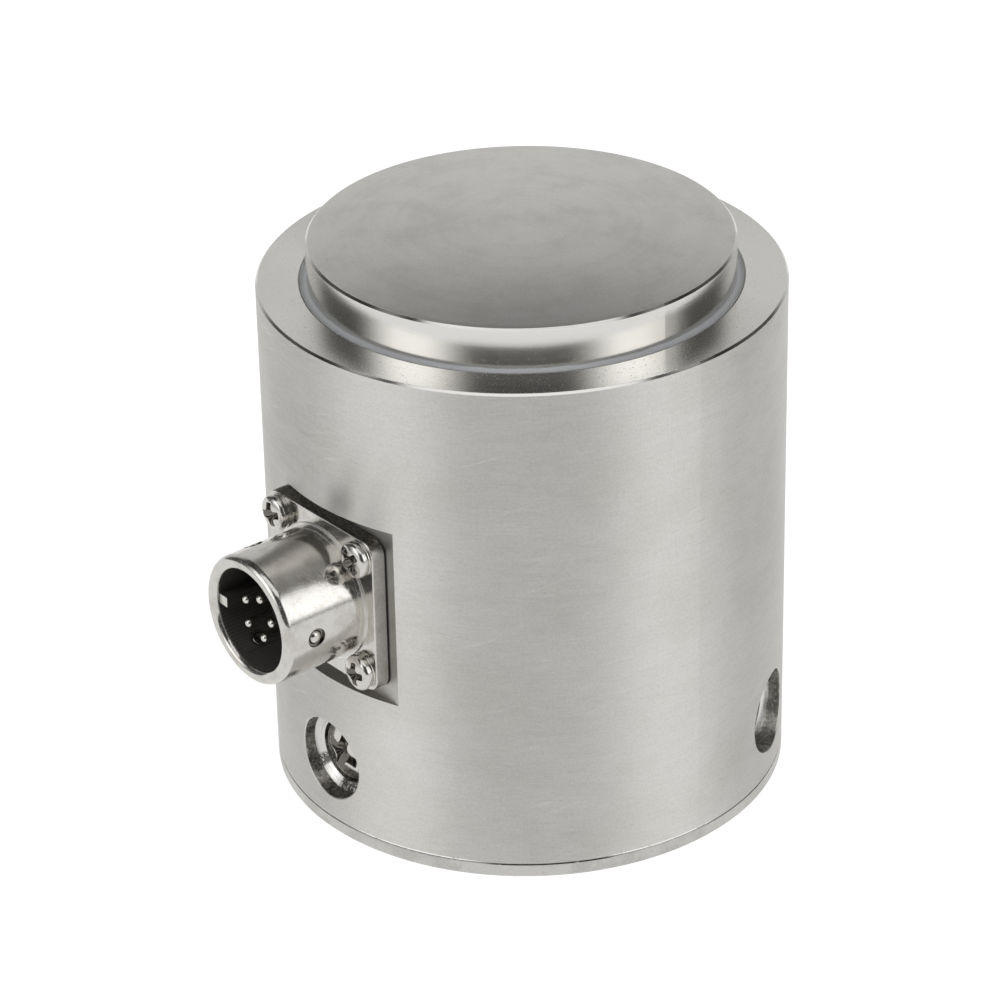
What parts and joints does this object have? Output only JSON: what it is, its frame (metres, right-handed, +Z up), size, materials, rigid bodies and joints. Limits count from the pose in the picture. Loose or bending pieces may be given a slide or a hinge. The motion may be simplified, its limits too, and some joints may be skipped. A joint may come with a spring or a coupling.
{
  "type": "compression load cell",
  "caption": "Canister compression load cell: domed loading cap, thick cylindrical sleeve and a bayonet socket on a milled flat.",
  "frame": {"origin": "centre of the base face, on the cell's axis", "axes": "+Z up the loading axis towards the dome; -Y out of the signal socket; +X completes the frame"},
  "size_m": [0.085, 0.0997, 0.0966],
  "materials": {
    "satin_steel": "fine turned and brushed alloy steel, nickel plated, satin",
    "nickel_casting": "nickel plated die casting, half bright, lightly scuffed",
    "bright_fastener": "bright nickel plated steel",
    "contact_metal": "bright plated contact",
    "sealant": "grey-blue cured sealant, slightly glossy",
    "black_rubber": "matte black rubber",
    "black_moulding": "black moulded resin, low sheen",
    "insulator": "amber insulating film",
    "board_laminate": "green glass-epoxy laminate",
    "gauge_foil": "foil grid on amber film",
    "resistor_body": "black chip",
    "wire_cover": "white wire insulation"
  },
  "bodies": {
    "root": {"sensing_element": "satin_steel", "housing_sleeve": "satin_steel", "top_seal_bead": "sealant", "base_o_ring": "black_rubber", "housing_screw_1": "bright_fastener", "housing_screw_2": "bright_fastener", "housing_screw_3": "bright_fastener", "connector_gasket": "black_rubber", "connector_shell": "nickel_casting", "bayonet_stud_1": "nickel_casting", "bayonet_stud_2": "nickel_casting", "bayonet_stud_3": "nickel_casting", "connector_insert": "black_moulding", "contact_pin_1": "contact_metal", "contact_pin_2": "contact_metal", "contact_pin_3": "contact_metal", "contact_pin_4": "contact_metal", "contact_pin_5": "contact_metal", "flange_flat_washer_1": "bright_fastener", "flange_flat_washer_2": "bright_fastener", "flange_flat_washer_3": "bright_fastener", "flange_flat_washer_4": "bright_fastener", "flange_spring_washer_1": "bright_fastener", "flange_spring_washer_2": "bright_fastener", "flange_spring_washer_3": "bright_fastener", "flange_spring_washer_4": "bright_fastener", "flange_screw_1": "bright_fastener", "flange_screw_2": "bright_fastener", "flange_screw_3": "bright_fastener", "flange_screw_4": "bright_fastener", "strain_gauge_1": "gauge_foil", "strain_gauge_2": "gauge_foil", "strain_gauge_3": "gauge_foil", "strain_gauge_4": "gauge_foil", "gauge_lead_1": "insulator", "gauge_lead_2": "insulator", "gauge_lead_3": "insulator", "gauge_lead_4": "insulator", "board_pad": "insulator", "compensation_board": "board_laminate", "trim_resistor_1": "resistor_body", "trim_resistor_2": "resistor_body", "trim_resistor_3": "resistor_body", "trim_resistor_4": "resistor_body", "lead_wire_1": "wire_cover", "lead_wire_2": "wire_cover", "lead_wire_3": "wire_cover", "lead_wire_4": "wire_cover", "lead_wire_5": "wire_cover"}
  },
  "joints": []
}
